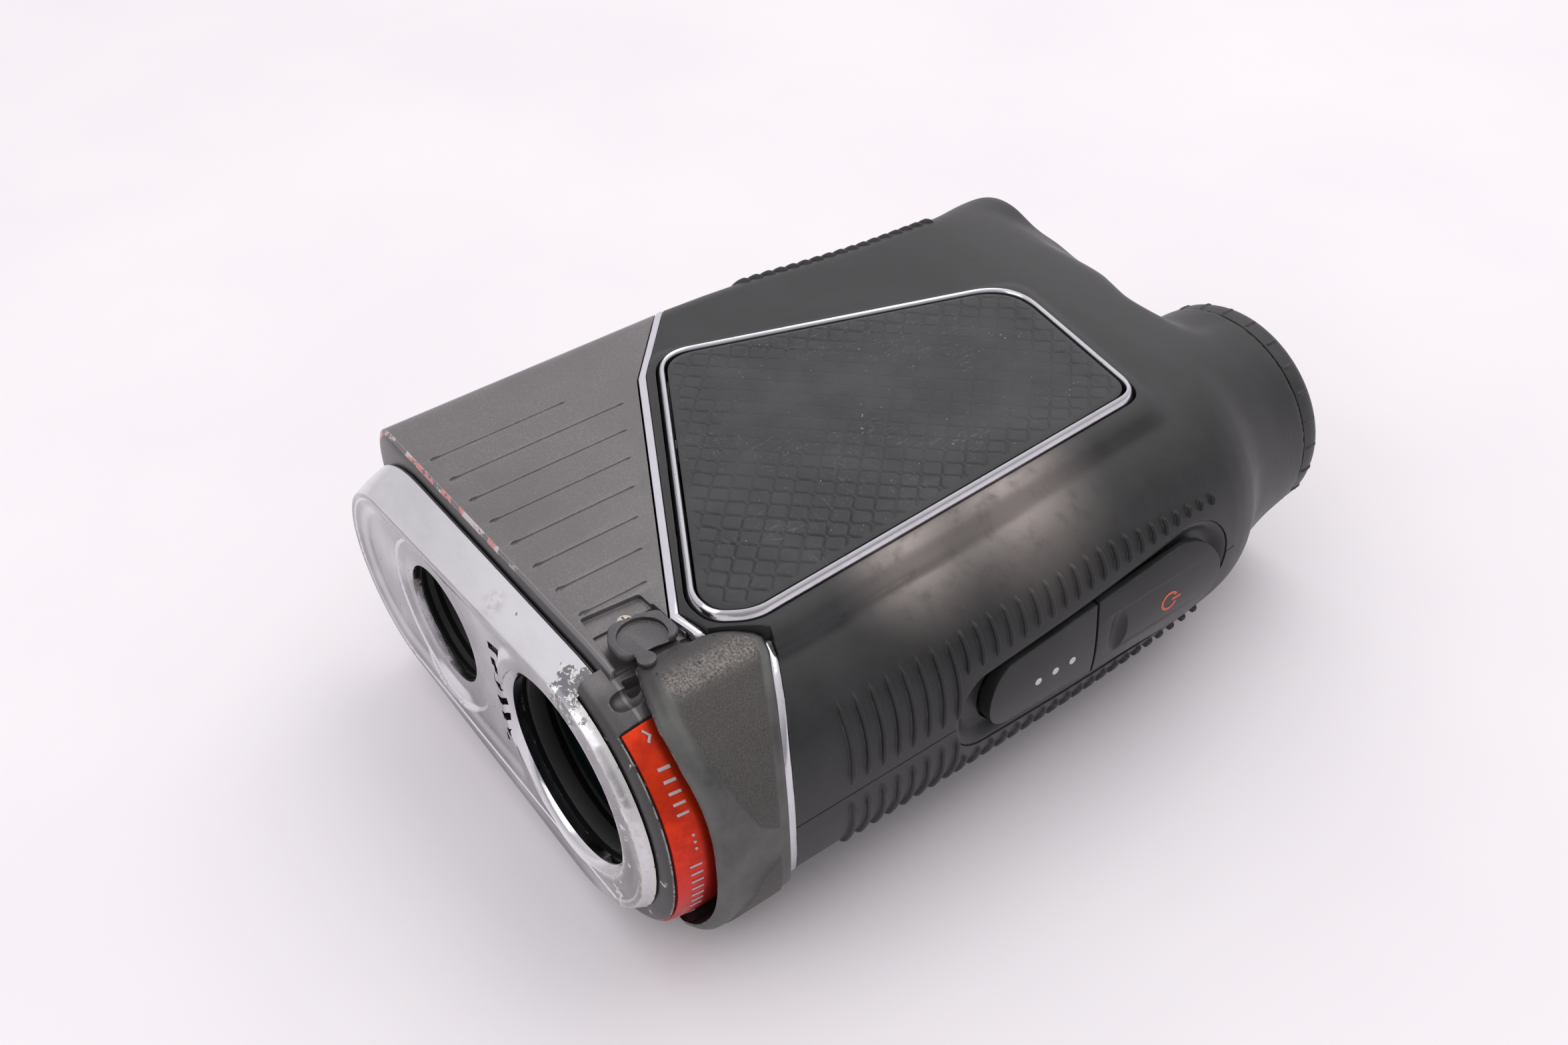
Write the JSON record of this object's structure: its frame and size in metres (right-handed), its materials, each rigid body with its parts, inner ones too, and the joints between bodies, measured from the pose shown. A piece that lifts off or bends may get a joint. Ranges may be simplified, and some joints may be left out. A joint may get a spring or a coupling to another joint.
{
  "type": "laser rangefinder",
  "caption": "Handheld monocular laser rangefinder with chrome bezel, swinging slope switch, side plates in chrome frames, top buttons and rear eyepiece ring.",
  "frame": {"origin": "centre of the bounding box's bottom, the instrument lying on its left side plate", "axes": "+Z towards the instrument's right side, +X towards its top (buttons), -Y towards the objective, +Y towards the eyepiece"},
  "size_m": [0.0826, 0.121, 0.0445],
  "materials": {
    "chrome_face": "bright plated, chipped",
    "grey_paint": "satin metallic paint",
    "red_band": "satin",
    "switch_metal": "worn matt",
    "chrome_trim": "bright plated",
    "armour": "matt, ribbed",
    "side_plate": "embossed cell net",
    "magnet": "plated",
    "pivot_cap": "satin light grey",
    "screw_steel": "plated",
    "optics_black": "matt black",
    "coated_glass": "coated",
    "module_plastic": "dark",
    "pod_rubber": "matt",
    "button_rubber": "matt, printed mark",
    "tact_metal": "plated",
    "board_green": "solder mask",
    "chip_black": "matt",
    "diode_brass": "turned",
    "cup_rubber": "matt, worn",
    "cell_wrap": "wrapped",
    "cap_plastic": "matt",
    "seal_rubber": "matt"
  },
  "bodies": {
    "housing": {"front_bezel": "chrome_face", "front_housing": "grey_paint", "slope_band": "red_band", "trim_hoop": "chrome_trim", "armour_right": "armour", "armour_left": "armour", "side_frame_right": "chrome_trim", "side_frame_left": "chrome_trim", "side_plate_right": "side_plate", "side_plate_left": "side_plate", "mount_magnet": "magnet", "pivot_cap_right": "pivot_cap", "pivot_cap_left": "pivot_cap", "pivot_screw_right": "screw_steel", "pivot_screw_left": "screw_steel", "objective_cell": "optics_black", "objective_retainer": "optics_black", "emitter_tube": "optics_black", "eyepiece_tube": "optics_black", "objective_lens": "coated_glass", "emitter_lens": "coated_glass", "prism_block": "coated_glass", "display_module": "module_plastic", "button_pod": "pod_rubber", "mode_tact": "tact_metal", "power_tact": "tact_metal", "button_board": "board_green", "main_board": "board_green", "ranging_chip": "chip_black", "laser_diode": "diode_brass", "vibration_motor": "screw_steel", "battery_tube": "optics_black", "battery": "cell_wrap", "contact_plate": "screw_steel"},
    "switch": {"slope_switch": "switch_metal"},
    "mode_key": {"mode_button": "button_rubber"},
    "power_key": {"power_button": "button_rubber"},
    "dial": {"diopter_ring": "cup_rubber"},
    "ocular": {"ocular_cell": "optics_black", "ocular_lens": "coated_glass"},
    "cap": {"battery_cap": "cap_plastic", "cap_seal": "seal_rubber"},
    "tab": {"cap_tab": "screw_steel"}
  },
  "joints": [
    {"name": "slope_swing", "type": "hinge", "parent": "housing", "child": "switch", "pos_m": [0.021, -0.0492, 0.02225], "axis": [0, 0, -1], "range_deg": [0, 13]},
    {"name": "mode_press", "type": "slide", "parent": "housing", "child": "mode_key", "axis": [-1, 0, 0], "range_m": [0, 0.0006], "stiffness_N_per_m": 800},
    {"name": "power_press", "type": "slide", "parent": "housing", "child": "power_key", "axis": [-1, 0, 0], "range_m": [0, 0.0006], "stiffness_N_per_m": 800},
    {"name": "diopter_turn", "type": "hinge", "parent": "housing", "child": "dial", "pos_m": [0.016, 0.057, 0.02225], "axis": [0, 1, 0], "range_deg": [-60, 60]},
    {"name": "ocular_travel", "type": "slide", "parent": "housing", "child": "ocular", "axis": [0, 1, 0], "range_m": [-0.0011, 0.0011]},
    {"name": "cap_turn", "type": "hinge", "parent": "housing", "child": "cap", "pos_m": [-0.0215, 0.055, 0.02225], "axis": [0, 1, 0], "range_deg": [0, 90]},
    {"name": "tab_lift", "type": "hinge", "parent": "cap", "child": "tab", "pos_m": [-0.0223, 0.0575, 0.02225], "axis": [0, 0, 1], "range_deg": [0, 85]}
  ],
  "couplings": [
    {"joint": "ocular_travel", "follows": "diopter_turn", "m_per_rad": 0.00095}
  ]
}
